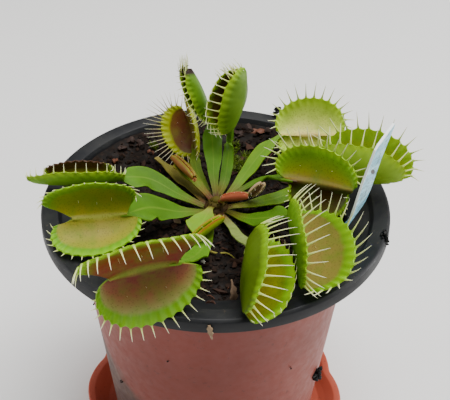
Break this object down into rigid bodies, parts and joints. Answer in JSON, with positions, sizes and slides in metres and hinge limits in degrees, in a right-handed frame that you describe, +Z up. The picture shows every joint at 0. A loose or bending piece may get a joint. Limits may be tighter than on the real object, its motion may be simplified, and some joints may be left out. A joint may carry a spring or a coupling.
{
  "type": "potted venus flytrap",
  "caption": "Venus flytrap with open and closed spined traps in a black nursery pot, inside a terracotta-coloured pot on a scalloped saucer, with a bare plant label.",
  "frame": {"origin": "middle of the saucer's underside", "axes": "+Z up through the pots' shared axis, -Y towards the front, where the large red-throated trap overhangs the rim"},
  "size_m": [0.1018, 0.0987, 0.1195],
  "materials": {
    "saucer": "satin brick red",
    "outer_pot": "dull terracotta colour with grey-olive stains",
    "nursery_pot": "satin black",
    "soil": "rough dark peat with bark and moss",
    "plant_label": "satin pale blue",
    "crown": "satin yellow-green",
    "leaf_front_left": "satin lime green rim, dark red inner face",
    "leaf_left_open": "satin olive inner face, lime green rim",
    "leaf_left_closed": "satin green with a dead brown edge",
    "leaf_front_middle": "satin green outside, olive brown inside",
    "leaf_front_right": "satin green with a khaki inner face",
    "leaf_far_right": "satin green, paler at the flared margin",
    "leaf_right": "satin olive green with a reddish middle",
    "leaf_back_right": "satin pale yellow-green",
    "leaf_back_middle": "satin green outside, dark inside",
    "leaf_back_tall": "satin green with a dead dark tip",
    "leaf_back_left": "satin yellow-green with a brown-red inner face",
    "young_leaf_front": "satin green with a pink stripe",
    "young_leaf_back": "satin orange trap on a green stalk",
    "young_leaf_right": "satin pinkish green",
    "curled_bud": "satin orange-red",
    "spoon_leaf": "dull straw colour"
  },
  "bodies": {
    "root": {"saucer": "saucer", "outer_pot": "outer_pot", "nursery_pot": "nursery_pot", "soil": "soil", "plant_label": "plant_label", "crown": "crown", "leaf_front_left": "leaf_front_left", "leaf_left_open": "leaf_left_open", "leaf_left_closed": "leaf_left_closed", "leaf_front_middle": "leaf_front_middle", "leaf_front_right": "leaf_front_right", "leaf_far_right": "leaf_far_right", "leaf_right": "leaf_right", "leaf_back_right": "leaf_back_right", "leaf_back_middle": "leaf_back_middle", "leaf_back_tall": "leaf_back_tall", "leaf_back_left": "leaf_back_left", "young_leaf_front": "young_leaf_front", "young_leaf_back": "young_leaf_back", "young_leaf_right": "young_leaf_right", "curled_bud": "curled_bud", "spoon_leaf": "spoon_leaf"}
  },
  "joints": []
}
